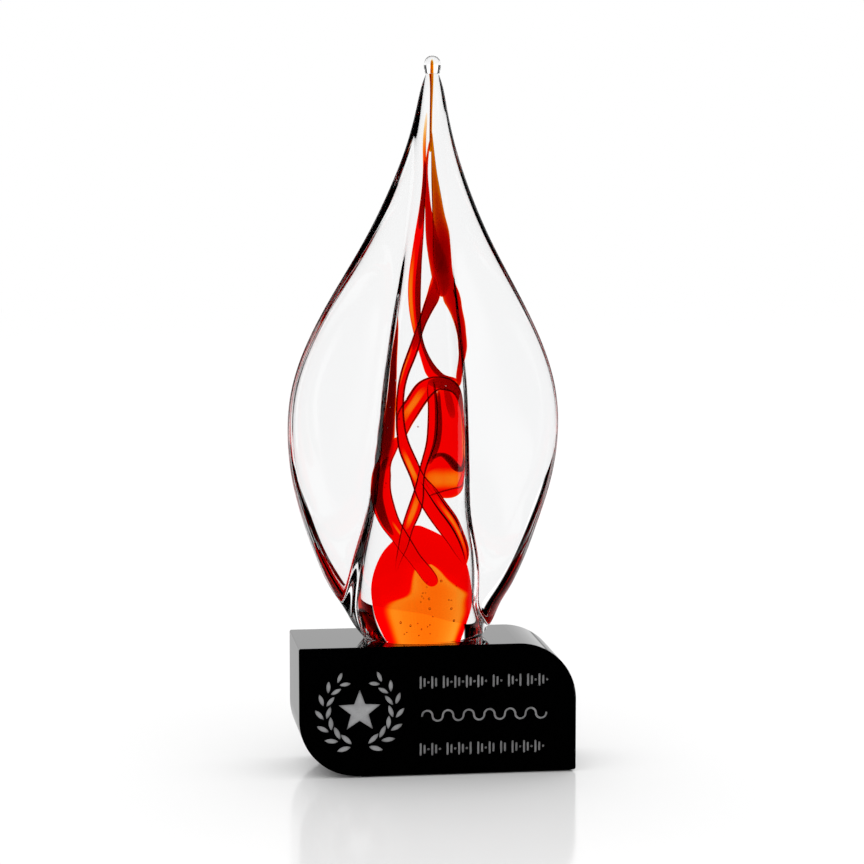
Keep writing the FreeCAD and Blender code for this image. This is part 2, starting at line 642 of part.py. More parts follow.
os.makedirs("parts", exist_ok=True)
for name, part in parts.items():
    part.Shape.exportStep("parts/%s.step" % name)
    box = part.Shape.BoundBox
    print("%-16s solids %d  volume %9.1f  x %7.2f %7.2f  y %7.2f %7.2f  z %7.2f %7.2f" % (
        name, len(part.Shape.Solids), part.Shape.Volume,
        box.XMin, box.XMax, box.YMin, box.YMax, box.ZMin, box.ZMax))
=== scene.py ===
"""Studio picture of the art glass flame award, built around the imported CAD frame."""
import math
import random

import bpy
import numpy as np
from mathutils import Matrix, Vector


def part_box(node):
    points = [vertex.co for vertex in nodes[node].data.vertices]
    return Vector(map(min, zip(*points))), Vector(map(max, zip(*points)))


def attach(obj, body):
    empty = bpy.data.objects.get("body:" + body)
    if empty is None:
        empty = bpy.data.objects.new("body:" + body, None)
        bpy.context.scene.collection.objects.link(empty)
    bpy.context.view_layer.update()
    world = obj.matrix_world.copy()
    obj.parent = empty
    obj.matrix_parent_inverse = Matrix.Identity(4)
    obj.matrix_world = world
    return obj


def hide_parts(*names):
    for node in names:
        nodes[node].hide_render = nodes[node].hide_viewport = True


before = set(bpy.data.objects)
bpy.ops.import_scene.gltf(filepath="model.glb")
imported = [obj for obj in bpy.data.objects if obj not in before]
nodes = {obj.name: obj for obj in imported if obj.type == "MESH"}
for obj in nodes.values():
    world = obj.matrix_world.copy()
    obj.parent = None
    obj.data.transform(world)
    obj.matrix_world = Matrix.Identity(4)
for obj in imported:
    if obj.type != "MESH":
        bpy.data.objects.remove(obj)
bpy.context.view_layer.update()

MM = 0.001
scene = bpy.context.scene

# ------------------------------------------------------------------ sizes
# The first ones come from the frame; the flame's section sizes are the same as in the CAD.
FLAME_LOW, FLAME_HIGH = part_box("flame_casing")
PLINTH_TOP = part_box("plinth")[1].z
FOOT = FLAME_LOW.z
FLAME_HEIGHT = FLAME_HIGH.z - FLAME_LOW.z
FLAME_HALF_WIDTH = (FLAME_HIGH.x - FLAME_LOW.x) / 2
COLUMN_HALF_WIDTH = 30.0 * MM
COLUMN_HALF_DEPTH = 23.5 * MM
WING_HALF = 13.5 * MM
OPTICAL_GAP = 0.05 * MM     # keeps glass surfaces that meet a hair apart
NO_LIMIT = math.inf

# ------------------------------------------------------------------ camera
VIEW_TURN = math.radians(7.69)
VIEW_FALL = math.radians(6.91)
CAMERA_PLACE = Vector((-0.1719, -1.2750, 0.3021))
LENS = 125.0
SENSOR_WIDTH = 36.0


def make_camera():
    camera = bpy.data.cameras.new("camera")
    camera.lens = LENS
    camera.sensor_width = SENSOR_WIDTH
    holder = bpy.data.objects.new("camera", camera)
    scene.collection.objects.link(holder)
    holder.location = CAMERA_PLACE
    holder.rotation_euler = (math.pi / 2 - VIEW_FALL, 0.0, -VIEW_TURN)
    scene.camera = holder


# ------------------------------------------------------------------ mesh helpers
def spline(values, steps):
    """A natural cubic spline through evenly spaced values, sampled at steps + 1 points."""
    values = np.asarray(values, float)
    count = len(values)
    matrix = np.zeros((count, count))
    right = np.zeros_like(values)
    matrix[0, 0] = matrix[-1, -1] = 1.0
    for i in range(1, count - 1):
        matrix[i, i - 1:i + 2] = (1.0, 4.0, 1.0)
        right[i] = 6.0 * (values[i - 1] - 2 * values[i] + values[i + 1])
    bend = np.linalg.solve(matrix, right)
    where = np.linspace(0, count - 1, steps + 1)
    first = np.minimum(where.astype(int), count - 2)
    part = (where - first)[:, None] if values.ndim > 1 else where - first
    low, high = values[first], values[first + 1]
    rest = 1 - part
    return (rest * low + part * high
            + ((rest ** 3 - rest) * bend[first] + (part ** 3 - part) * bend[first + 1]) / 6.0)


def turn_angles(around):
    """Evenly spaced angles of one full turn."""
    return np.linspace(0, 2 * math.pi, around, endpoint=False)


def front_and_back(angle, sharpness):
    """An outline that is flat in front and behind and rounds off at its two sides."""
    return np.sign(np.sin(angle)) * np.clip(1 - np.abs(np.cos(angle)) ** sharpness, 0, 1) ** 0.5


def tube_faces(rings, around, start=0, flip=False):
    """The four-sided faces between level rings of as many points each."""
    faces = []
    for ring in range(rings - 1):
        for step in range(around):
            here = start + ring * around + step
            beside = start + ring * around + (step + 1) % around
            face = (here, beside, beside + around, here + around)
            faces.append(face[::-1] if flip else face)
    return faces


def closed_tube(rings, flip=False, start=0):
    """Vertices and faces of a tube whose two ends are closed by a fan to the ring's middle."""
    rings = np.asarray(rings, float)
    count, around = rings.shape[:2]
    vertices = [tuple(point) for point in rings.reshape(-1, 3)]
    faces = tube_faces(count, around, start, flip)
    for ring, turned in ((0, True), (count - 1, False)):
        middle = start + len(vertices)
        vertices.append(tuple(rings[ring].mean(axis=0)))
        for step in range(around):
            here = start + ring * around + step
            beside = start + ring * around + (step + 1) % around
            face = (here, beside, middle)
            faces.append(face[::-1] if turned != flip else face)
    return vertices, faces


def make_mesh(name, shells, material):
    """One object from a list of (rings, flip) shells."""
    vertices, faces = [], []
    for rings, flip in shells:
        more_vertices, more_faces = closed_tube(rings, flip, len(vertices))
        vertices += more_vertices
        faces += more_faces
    mesh = bpy.data.meshes.new(name)
    mesh.from_pydata(vertices, [], faces)
    mesh.polygons.foreach_set("use_smooth", [True] * len(mesh.polygons))
    mesh.update()
    mesh.materials.append(material)
    piece = bpy.data.objects.new(name, mesh)
    scene.collection.objects.link(piece)
    return piece


# ------------------------------------------------------------------ material helpers
class Nodes:
    """Short-hand for building one node tree."""

    def __init__(self, owner):
        owner.use_nodes = True
        self.tree = owner.node_tree

    def add(self, kind, **settings):
        node = self.tree.nodes.new(kind)
        for name, value in settings.items():
            setattr(node, name, value)
        return node

    def join(self, source, target):
        self.tree.links.new(source, target)

    def value(self, operation, *terms):
        node = self.add("ShaderNodeMath", operation=operation)
        for slot, term in zip(node.inputs, terms):
            if isinstance(term, (int, float)):
                slot.default_value = term
            else:
                self.join(term, slot)
        return node.outputs[0]

    def noise(self, scale, stretch=(1, 1, 1), detail=3.0, roughness=0.5):
        place = self.add("ShaderNodeTexCoord")
        mapping = self.add("ShaderNodeMapping")
        mapping.inputs["Scale"].default_value = stretch
        self.join(place.outputs["Object"], mapping.inputs["Vector"])
        noise = self.add("ShaderNodeTexNoise")
        noise.inputs["Scale"].default_value = scale
        noise.inputs["Detail"].default_value = detail
        noise.inputs["Roughness"].default_value = roughness
        self.join(mapping.outputs[0], noise.inputs["Vector"])
        return noise.outputs["Fac"]

    def ramp(self, factor, *stops):
        node = self.add("ShaderNodeValToRGB")
        ramp = node.color_ramp
        while len(ramp.elements) < len(stops):
            ramp.elements.new(0.5)
        for element, (position, colour) in zip(ramp.elements, stops):
            element.position = position
            element.color = (*colour, 1.0)
        self.join(factor, node.inputs["Fac"])
        return node.outputs["Color"]

    def spread(self, factor, low, high, to_low, to_high):
        node = self.add("ShaderNodeMapRange", interpolation_type="SMOOTHSTEP")
        for name, number in (("From Min", low), ("From Max", high),
                             ("To Min", to_low), ("To Max", to_high)):
            node.inputs[name].default_value = number
        self.join(factor, node.inputs["Value"])
        return node.outputs[0]

    def bump(self, height, strength, distance):
        node = self.add("ShaderNodeBump")
        node.inputs["Strength"].default_value = strength
        node.inputs["Distance"].default_value = distance
        self.join(height, node.inputs["Height"])
        return node.outputs["Normal"]


def new_material(name, **settings):
    material = bpy.data.materials.new(name)
    tree = Nodes(material)
    shader = tree.tree.nodes["Principled BSDF"]
    for socket, value in settings.items():
        shader.inputs[socket.replace("_", " ")].default_value = value
    return material, tree, shader


def add_absorption(tree, per_mm):
    """Coloured glass: how much red, green and blue light is lost in each millimetre."""
    strongest = max(per_mm)
    volume = tree.add("ShaderNodeVolumeAbsorption")
    volume.inputs["Color"].default_value = (*[1 - loss / strongest for loss in per_mm], 1.0)
    volume.inputs["Density"].default_value = strongest / MM
    output = tree.tree.nodes["Material Output"]
    tree.join(volume.outputs[0], output.inputs["Volume"])


# ------------------------------------------------------------------ materials
CRYSTAL_IOR = 1.5
GLASS_IN_GLASS = 1.0
AIR_IN_GLASS = 0.667


def clear_crystal():
    """Fire-polished clear glass with the faint waves of hand work."""
    material, tree, shader = new_material("clear_crystal", Base_Color=(1, 1, 1, 1),
                                          Roughness=0.0, IOR=CRYSTAL_IOR, Transmission_Weight=1.0)
    waves = tree.noise(22.0, (1.0, 1.0, 0.35), detail=1.5)
    tree.join(tree.bump(waves, 0.05, 2 * MM), shader.inputs["Normal"])
    tint = tree.ramp(tree.noise(30.0, (1, 1, 0.3)), (0.3, (0.985, 0.99, 0.995)), (0.7, (1, 1, 1)))
    tree.join(tint, shader.inputs["Base Color"])
    return material


def coloured_glass(name, per_mm, streak):
    """Glass inside the clear casing: it colours light by its thickness and hardly bends it."""
    material, tree, shader = new_material(name, Roughness=0.0, IOR=GLASS_IN_GLASS,
                                          Transmission_Weight=1.0, Specular_IOR_Level=0.0)
    streaks = tree.noise(160.0, (1.0, 1.0, 0.06), detail=4.0, roughness=0.6)
    tree.join(tree.ramp(streaks, (0.42, streak), (0.58, (1, 1, 1))), shader.inputs["Base Color"])
    add_absorption(tree, per_mm)
    return material


def seed_bubble_air():
    """Air inside glass: the ratio of the two refractive indices."""
    return new_material("seed_bubble_air", Base_Color=(1, 1, 1, 1),
                        Roughness=0.0, IOR=AIR_IN_GLASS, Transmission_Weight=1.0)[0]


def black_crystal():
    """Opaque black crystal, polished, with very faint wipe marks in the gloss."""
    material, tree, shader = new_material("black_crystal", Base_Color=(0.0, 0.0, 0.0, 1),
                                          Roughness=0.02, IOR=CRYSTAL_IOR)
    marks = tree.noise(60.0, (1.0, 1.0, 4.0), detail=5.0, roughness=0.65)
    tree.join(tree.spread(marks, 0.35, 0.75, 0.012, 0.05), shader.inputs["Roughness"])
    speck = tree.noise(900.0, detail=2.0)
    tree.join(tree.ramp(speck, (0.60, (0.0002, 0.0002, 0.00025)), (0.80, (0.0016, 0.0016, 0.0018))),
              shader.inputs["Base Color"])
    return material


def silver_fill():
    """Silver-grey paint on a sand-carved floor."""
    material, tree, shader = new_material("silver_fill", Roughness=0.62)
    grain = tree.noise(2600.0, detail=4.0, roughness=0.7)
    cloud = tree.noise(120.0, detail=3.0)
    mixed = tree.value("ADD", tree.value("MULTIPLY", grain, 0.55), tree.value("MULTIPLY", cloud, 0.45))
    tree.join(tree.ramp(mixed, (0.36, (0.25, 0.25, 0.255)), (0.62, (0.46, 0.46, 0.465))),
              shader.inputs["Base Color"])
    tree.join(tree.bump(grain, 0.35, 0.12 * MM), shader.inputs["Normal"])
    return material


def black_felt():
    material, tree, shader = new_material("black_felt", Roughness=0.95, Sheen_Weight=0.25)
    fibres = tree.noise(1800.0, (1.0, 0.35, 1.0), detail=6.0, roughness=0.75)
    tree.join(tree.ramp(fibres, (0.35, (0.004, 0.004, 0.0045)), (0.7, (0.02, 0.02, 0.021))),
              shader.inputs["Base Color"])
    tree.join(tree.bump(fibres, 0.6, 0.2 * MM), shader.inputs["Normal"])
    return material


def clear_glue():
    material, tree, shader = new_material("clear_glue", Roughness=0.0, IOR=GLASS_IN_GLASS,
                                          Transmission_Weight=1.0, Specular_IOR_Level=0.0)
    cloud = tree.noise(90.0, detail=2.0)
    tree.join(tree.ramp(cloud, (0.4, (0.96, 0.96, 0.95)), (0.6, (1, 1, 1))),
              shader.inputs["Base Color"])
    return material


# ------------------------------------------------------------------ clear flame
# Sections from the foot up, as in the CAD: height, middle in X (mm), half width over the
# wings, wing half thickness, then how far the column's middle is to the right of the wings'
# middle (mm), its half width and its half depth.  All but the two in mm are parts of the whole.
FLAME_SECTIONS = [
    (0.000, -3.7, 0.440, 0.890, 0.0, 0.863, 0.766),
    (0.025, -3.8, 0.520, 0.965, -1.9, 0.890, 0.874),
    (0.055, -4.2, 0.586, 1.000, -3.2, 0.890, 0.949),
    (0.090, -4.4, 0.680, 0.963, -2.9, 0.893, 0.989),
    (0.144, -4.4, 0.786, 0.890, -2.2, 0.855, 1.000),
    (0.210, -4.2, 0.883, 0.815, -1.8, 0.740, 0.980),
    (0.280, -3.8, 0.964, 0.760, -1.2, 0.685, 0.920),
    (0.360, -3.4, 1.000, 0.720, -0.6, 0.640, 0.850),
    (0.440, -3.2, 0.966, 0.680, -0.1, 0.595, 0.766),
    (0.520, -2.9, 0.848, 0.640, 0.0, 0.520, 0.664),
    (0.600, -2.4, 0.672, 0.610, 0.0, 0.433, 0.553),
    (0.680, -1.7, 0.480, 0.565, 0.0, 0.350, 0.425),
    (0.760, -1.0, 0.318, 0.490, 0.0, 0.283, 0.315),
    (0.840, -0.3, 0.190, 0.385, 0.0, 0.200, 0.218),
    (0.905, 0.1, 0.118, 0.311, 0.0, 0.146, 0.162),
    (0.945, 0.3, 0.082, 0.262, 0.0, 0.108, 0.138),
    (0.970, 0.4, 0.045, 0.193, 0.0, 0.070, 0.112),
]
WING_SHAPE = 2.6
WING_ROUNDING = 1.6
BLEND = 4.0
NUB_HALF_WIDTH = 3.7 * MM
NUB_STEPS = 40
# Share of the nub's half width, and how far below the very top (mm).
NUB_PROFILE = [(0.84, 7.6), (0.97, 5.2), (0.98, 3.4), (0.74, 1.2), (0.30, 0.15), (0.01, 0.0)]


def flame_rings(levels=360, around=288):
    """Level rings of the flame's outer surface, wings and column blended, with the tip's nub."""
    rows = spline(FLAME_SECTIONS, levels)
    angle = turn_angles(around)
    across, side = np.cos(angle), np.sign(np.sin(angle))
    reach = np.abs(across)
    rings = []
    for level, middle, width, wing, shift, column, depth in rows:
        half_width = width * FLAME_HALF_WIDTH
        wing_here = wing * WING_HALF * np.clip(1 - reach ** WING_SHAPE, 0, 1) ** (1 / WING_ROUNDING)
        from_middle = np.abs(half_width * across - shift * MM)
        inside = np.clip(from_middle / (column * COLUMN_HALF_WIDTH), 0, 1)
        column_here = depth * COLUMN_HALF_DEPTH * np.sqrt(1 - inside ** 2)
        y = side * (wing_here ** BLEND + column_here ** BLEND) ** (1 / BLEND)
        z = np.full(around, FOOT + level * FLAME_HEIGHT)
        rings.append(np.stack([middle * MM + half_width * across, y, z], axis=1))
    middle = FLAME_SECTIONS[-1][1] * MM
    for wide, down in spline(NUB_PROFILE, NUB_STEPS):
        radius = wide * NUB_HALF_WIDTH
        rings.append(np.stack([middle + radius * across, radius * np.sin(angle),
                               np.full(around, FLAME_HIGH.z - down * MM)], axis=1))
    rings[0] = rings[0] - np.array((0, 0, FOOT - PLINTH_TOP + OPTICAL_GAP / 5))
    return np.array(rings)


def make_flame():
    flame = make_mesh("flame", [(flame_rings(), False)], clear_crystal())
    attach(flame, "root")
    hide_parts("flame_casing")


# ------------------------------------------------------------------ coloured core
# Middle lines and sizes in mm, as in the CAD: x, y, z, width across, thickness.
STRANDS = {
    "tip_thread": [
        (0.3, 0.0, 305.5, 1.0, 1.0), (0.2, 0.0, 296.0, 1.0, 1.0), (-0.1, 0.0, 286.4, 0.9, 1.0),
        (-0.3, 0.0, 277.9, 0.9, 1.0), (-0.4, 0.0, 271.5, 0.9, 1.0), (-0.6, 0.0, 266.4, 0.8, 0.9),
    ],
    "amber_leaf": [
        (0.1, 1.2, 275.3, 0.3, 0.5), (0.2, 1.3, 271.9, 0.7, 0.7), (0.5, 1.7, 265.0, 1.2, 1.0),
        (0.9, 2.2, 256.4, 2.0, 1.3), (1.5, 2.7, 247.9, 3.0, 1.5), (2.2, 3.0, 238.5, 4.2, 1.6),
        (3.0, 3.1, 231.6, 5.8, 1.5), (3.1, 3.1, 225.2, 6.2, 1.2), (3.0, 3.0, 219.2, 5.7, 0.9),
        (2.7, 2.8, 214.0, 4.0, 0.6),
    ],
    "red_leaf": [
        (-0.9, -1.4, 271.6, 0.7, 0.6), (-1.9, -1.5, 263.5, 0.9, 0.9), (-2.2, -1.4, 256.2, 1.2, 1.2),
        (-2.0, -1.5, 249.4, 1.7, 1.5), (-1.7, -1.6, 243.0, 2.2, 1.7), (-1.2, -1.7, 236.7, 3.1, 1.8),
        (-0.5, -1.7, 229.8, 4.1, 1.9), (0.8, -1.7, 223.4, 5.6, 1.9), (2.0, -1.7, 217.4, 6.6, 1.8),
        (2.6, -1.7, 212.2, 6.4, 1.7), (2.6, -1.7, 207.9, 4.5, 1.6), (2.4, -1.7, 204.5, 2.2, 1.2),
    ],
    "right_loop": [
        (1.5, 6.0, 248.9, 2.3, 0.4), (1.9, 6.0, 242.1, 3.2, 0.5), (2.5, 6.0, 235.3, 4.3, 0.8),
        (3.1, 5.8, 228.4, 5.6, 1.4), (3.2, 5.6, 221.1, 6.1, 1.8), (3.5, 5.4, 214.3, 6.1, 2.0),
        (5.0, 5.2, 208.7, 7.2, 2.0), (7.2, 5.0, 204.0, 10.0, 2.0), (8.6, 4.8, 198.8, 9.4, 2.0),
        (10.1, 4.4, 192.8, 8.8, 2.0), (11.0, 4.0, 187.0, 8.1, 2.0), (11.0, 3.4, 181.0, 7.6, 2.0),
        (9.1, 2.6, 175.8, 4.3, 1.8), (7.8, 1.8, 170.6, 3.2, 1.6), (7.2, 1.2, 165.7, 2.1, 1.2),
    ],
    "left_ribbon": [
        (-2.1, -2.2, 283.5, 1.0, 0.9), (-2.9, -2.6, 275.9, 1.3, 1.0), (-3.3, -3.2, 268.3, 1.4, 1.1),
        (-3.3, -3.8, 260.2, 1.4, 1.3), (-3.7, -4.4, 251.8, 1.7, 1.6), (-4.5, -5.0, 243.3, 2.3, 2.0),
        (-5.7, -5.6, 232.3, 3.6, 2.4), (-6.8, -6.0, 222.1, 4.5, 2.6), (-7.5, -6.2, 213.1, 5.2, 2.6),
        (-7.6, -6.4, 204.1, 5.0, 2.4), (-7.0, -6.6, 195.1, 3.9, 2.4), (-5.9, -6.6, 187.6, 2.8, 2.4),
        (-4.4, -6.6, 181.4, 2.9, 2.4), (-2.6, -6.4, 176.0, 3.9, 2.4), (-0.7, -6.2, 172.1, 4.9, 2.2),
        (1.9, -5.8, 170.0, 4.0, 2.2), (4.8, -5.2, 169.1, 3.3, 2.0), (7.8, -4.6, 168.9, 2.6, 1.6),
    ],
    "long_strand": [
        (0.4, 1.4, 214.6, 2.4, 1.2), (0.0, 1.6, 205.9, 3.8, 1.8), (-1.2, 1.6, 200.8, 3.5, 2.2),
        (-2.8, 1.4, 195.4, 2.7, 2.4), (-4.6, 1.0, 188.8, 2.5, 2.4), (-6.5, 0.0, 181.4, 3.2, 2.6),
        (-9.1, -1.2, 173.6, 3.2, 2.6), (-11.0, -2.4, 166.4, 3.0, 2.6),
        (-11.9, -3.6, 159.7, 3.1, 2.6), (-12.2, -4.8, 153.0, 3.4, 2.6),
        (-11.9, -6.2, 145.8, 4.0, 2.8), (-11.0, -7.6, 139.8, 4.9, 2.8),
        (-9.0, -9.0, 133.5, 5.1, 3.0), (-6.9, -10.4, 127.4, 5.5, 3.0),
        (-4.3, -12.0, 121.7, 8.1, 3.2), (-0.5, -13.4, 114.7, 9.3, 3.2),
        (3.8, -14.6, 108.5, 10.1, 3.2), (7.8, -15.4, 102.2, 9.4, 3.0),
        (10.7, -15.8, 96.1, 7.6, 2.6), (12.4, -15.8, 90.4, 4.1, 1.8),
    ],
    "arch_ribbon": [
        (-9.5, 3.0, 142.1, 2.9, 1.2), (-8.7, 3.2, 148.8, 4.8, 1.8), (-7.4, 3.4, 153.9, 6.1, 2.2),
        (-5.6, 3.6, 157.9, 5.8, 2.4), (-3.5, 3.8, 162.6, 6.0, 2.4), (-1.3, 4.0, 165.9, 6.3, 2.4),
        (1.4, 4.0, 166.9, 6.0, 2.2), (4.0, 4.0, 165.7, 4.9, 2.0), (6.0, 4.0, 163.3, 3.2, 1.8),
        (7.5, 3.8, 158.4, 2.3, 1.6), (8.3, 3.6, 151.9, 1.7, 1.6), (8.6, 3.4, 145.1, 1.6, 1.8),
        (8.6, 3.4, 137.8, 1.6, 1.8), (8.0, 3.6, 130.6, 1.5, 1.8), (6.9, 3.8, 125.6, 2.0, 1.6),
        (5.1, 4.0, 121.8, 1.9, 1.2),
    ],
    "crossing_strand": [
        (-1.2, -1.8, 170.1, 1.6, 1.2), (-1.2, -1.6, 165.4, 2.9, 1.8), (-0.9, -1.4, 159.4, 3.1, 2.0),
        (-0.9, -1.4, 152.9, 3.2, 2.0), (-1.2, -1.6, 146.5, 3.2, 2.0), (-2.0, -2.0, 140.4, 2.9, 2.0),
        (-3.7, -2.8, 133.6, 2.4, 2.2), (-5.1, -3.6, 127.0, 2.3, 2.4), (-6.1, -4.8, 120.2, 3.7, 2.4),
        (-8.0, -6.4, 112.8, 4.7, 2.4), (-10.5, -8.0, 106.0, 4.2, 2.2),
        (-12.5, -9.4, 98.9, 3.8, 2.0), (-14.6, -10.6, 92.8, 2.3, 1.4),
        (-16.0, -11.4, 87.6, 1.2, 0.8),
    ],
    "low_strand": [
        (-12.4, -3.2, 144.6, 3.2, 1.4), (-14.8, -3.8, 139.4, 4.0, 2.0),
        (-18.1, -4.4, 135.2, 7.0, 2.6), (-20.6, -5.0, 130.5, 10.4, 2.8),
        (-21.4, -5.4, 125.1, 11.3, 2.8), (-21.3, -6.2, 119.4, 11.6, 2.8),
        (-19.9, -8.0, 113.9, 10.4, 3.0), (-18.1, -11.0, 108.7, 8.6, 3.0),
        (-15.3, -13.6, 103.8, 7.1, 3.0), (-12.3, -15.8, 98.6, 6.3, 3.0),
        (-9.1, -17.2, 93.6, 5.5, 2.8), (-5.7, -17.8, 88.9, 5.9, 2.8), (-3.0, -17.8, 85.0, 5.7, 2.6),
        (-1.3, -17.6, 82.3, 3.9, 1.8),
    ],
    # painted reflection: maroon_veil is a sheet of deep red glass where the long strand's image shows
    # a second time in the flame's glass, beside its left crease
    "maroon_veil": [
        (-11.7, 4.4, 195.9, 0.9, 0.6), (-11.9, 4.4, 187.7, 2.9, 1.2), (-12.7, 4.4, 179.1, 4.3, 1.6),
        (-12.9, 4.6, 169.2, 4.9, 1.8), (-13.3, 4.8, 159.7, 5.7, 1.8), (-13.9, 5.0, 151.1, 6.7, 1.8),
        (-14.6, 5.2, 143.3, 8.0, 1.8), (-15.3, 5.4, 135.4, 8.1, 1.6), (-15.3, 5.6, 128.3, 5.4, 1.2),
    ],
}
PANEL_SECTIONS = [
    (2.9, 8.0, 165.5, 4.1, 1.2), (3.4, 8.2, 161.6, 5.5, 1.8), (3.6, 8.4, 156.4, 6.1, 2.0),
    (3.7, 8.6, 150.4, 6.3, 2.0), (3.5, 8.8, 143.5, 6.7, 2.2), (3.0, 8.8, 137.0, 7.7, 2.2),
    (2.3, 8.6, 131.4, 9.2, 2.2), (1.9, 8.4, 126.6, 9.6, 2.2), (1.9, 8.2, 122.7, 8.9, 2.0),
    (1.9, 8.0, 119.5, 6.7, 1.8), (1.7, 7.8, 116.7, 3.7, 1.2),
]
# x, height above the foot, half width, half depth, in mm
BULB_SECTIONS = [
    (-3.3, 0.0, 12.6, 10.8), (-4.0, 6.0, 14.6, 12.0), (-4.3, 11.5, 16.2, 13.0),
    (-4.5, 17.0, 17.0, 13.4), (-4.9, 22.0, 16.8, 13.2), (-5.0, 27.5, 15.8, 12.4),
    (-4.9, 32.5, 14.2, 11.2), (-4.9, 37.0, 12.0, 9.6), (-4.9, 41.0, 9.2, 7.8),
    (-5.2, 44.5, 6.2, 5.6), (-5.7, 47.2, 3.4, 3.4), (-6.3, 49.0, 1.2, 1.2),
]
GATHER_SECTIONS = [
    (-3.4, 0.0, 12.1, 9.2), (-3.7, 6.0, 14.0, 10.4), (-3.9, 11.0, 15.5, 11.2),
    (-4.1, 15.0, 15.9, 11.4), (-3.0, 18.0, 15.0, 10.8), (-0.9, 20.5, 12.4, 10.0),
    (-1.9, 24.0, 9.6, 8.8), (-3.3, 27.5, 7.4, 7.2), (-4.2, 31.0, 5.4, 5.4),
    (-5.0, 33.6, 3.0, 3.2),
]


# Dark trails over the panel, same columns as the strands.
TRAILS = [
    [(-0.9, 6.6, 133.8, 0.5, 0.4), (-0.1, 6.4, 135.4, 1.5, 0.8), (1.3, 6.2, 136.0, 1.8, 1.2),
     (2.7, 6.2, 134.4, 2.1, 1.4), (3.9, 6.2, 131.8, 2.3, 1.4), (5.1, 6.2, 129.6, 2.5, 1.4),
     (6.3, 6.2, 129.8, 2.1, 1.2), (7.0, 6.4, 132.0, 1.5, 0.9), (7.3, 6.6, 135.7, 0.4, 0.5)],
    [(-2.0, 6.6, 118.0, 0.6, 0.5), (-0.5, 6.4, 119.1, 0.7, 0.7), (1.6, 6.4, 120.3, 0.7, 0.7),
     (4.0, 6.4, 121.3, 0.7, 0.7), (5.8, 6.4, 122.1, 0.7, 0.7), (6.9, 6.6, 124.2, 0.5, 0.5)],
]
# Hollow hearts, where only two thin skins of colour are left and the glass looks orange:
# first and last station, left and right side as shares of the half width, skin (mm).
HEARTS = {
    "left_ribbon": [(6.3, 11.4, -0.92, -0.15, 0.17)],
    "long_strand": [(4.6, 7.3, -0.80, -0.05, 0.22), (7.7, 10.5, -0.90, -0.40, 0.12),
                    (10.7, 13.7, -0.70, 0.15, 0.17), (14.2, 18.7, 0.24, 0.64, 0.17)],
    "arch_ribbon": [(0.8, 4.9, -0.35, 0.50, 0.17), (10.4, 14.6, -0.50, 0.50, 0.15)],
    "crossing_strand": [(7.6, 10.3, -0.55, 0.40, 0.17)],
    "low_strand": [(6.8, 8.9, 0.10, 0.45, 0.20)],
    "red_panel": [(6.15, 8.7, -0.94, 0.84, 0.19), (2.0, 6.1, 0.74, 0.90, 0.19)],
}
# Darker glass inside the strands, and painted shade in the right_loop and low_strand rows:
# station where it begins and ends, its left and right edge as shares of the half width, how far
# it leans to the right along its way, thickness (mm).
SHADES = {
    "tip_thread": [(0.0, 5.0, -0.95, -0.1, 0.0, 0.8)],
    # painted shade: both right_loop rows are dark glass where the flame's right crease darkens the
    # loop
    "right_loop": [(6.3, 8.2, -0.10, 0.20, 0.0, 1.6), (8.6, 12.6, -0.98, -0.70, 0.0, 1.2)],
    "left_ribbon": [(2.6, 5.9, -0.90, 0.95, 0.0, 0.8), (6.0, 16.6, 0.10, 0.96, 0.0, 0.8)],
    "long_strand": [(0.2, 5.0, -0.90, 0.90, 0.0, 0.55), (13.2, 18.9, 0.02, 0.15, 0.0, 2.4),
                    (13.8, 18.9, 0.70, 0.84, 0.0, 2.4)],
    "arch_ribbon": [(5.0, 9.7, -0.95, 0.95, 0.0, 0.7)],
    "crossing_strand": [(0.3, 6.4, 0.35, 0.94, 0.0, 0.9)],
    # painted shade: dark glass in the wedge where the flame's left crease darkens this strand
    "low_strand": [(1.6, 7.9, -0.28, 0.68, -0.70, 1.0)],
    # painted reflection: darker glass over the maroon_veil, the long strand's second image
    "maroon_veil": [(0.3, 7.8, -0.90, 0.90, 0.0, 0.8)],
    "red_panel": [(0.6, 6.0, -0.98, -0.66, 0.0, 0.9), (0.2, 2.9, -0.50, 0.10, 0.25, 0.4)],
}
# Width (mm) of the dark line along each strand's left and right edge.
EDGES = {
    "amber_leaf": (0.35, 0.15), "red_leaf": (0.12, 0.12), "left_ribbon": (0.0, 0.40),
    "long_strand": (0.60, 0.55), "arch_ribbon": (0.65, 0.70), "crossing_strand": (0.50, 0.50),
    "low_strand": (0.30, 0.55), "red_panel": (0.20, 0.35),
}
MOST_EDGE = 0.35            # of the half width, where the strand is narrow
# Strands that begin as a mere film: stations until the full thickness.
FILM_STARTS = {"right_loop": 3.4, "left_ribbon": 3.6}
# How much red, green and blue light each glass takes out in a millimetre.
BRIGHT_RED = (0.02, 4.5, 14.0)
DEEP_RED = (0.40, 5.0, 14.0)
# This dark glass also paints the crease shade in the right_loop and low_strand rows of SHADES.
DARK_RUBY_AND_CREASE_SHADE = (1.7, 9.0, 25.0)
AMBER = (0.50, 2.0, 10.0)
OVERLAY = (0.004, 4.5, 14.0)
GATHER = (0.0005, 0.003, 0.012)
GLASSES = {
    "tip_thread": "amber_glass", "amber_leaf": "amber_glass", "red_leaf": "red_glass",
    "right_loop": "red_glass", "left_ribbon": "orange_red_glass",
    "long_strand": "orange_red_glass", "arch_ribbon": "orange_red_glass",
    "crossing_strand": "orange_red_glass", "low_strand": "orange_red_glass",
    "maroon_veil": "red_glass", "red_panel": "orange_red_glass",
}
STEPS_PER_STATION = 14
FINE_STEPS = 600
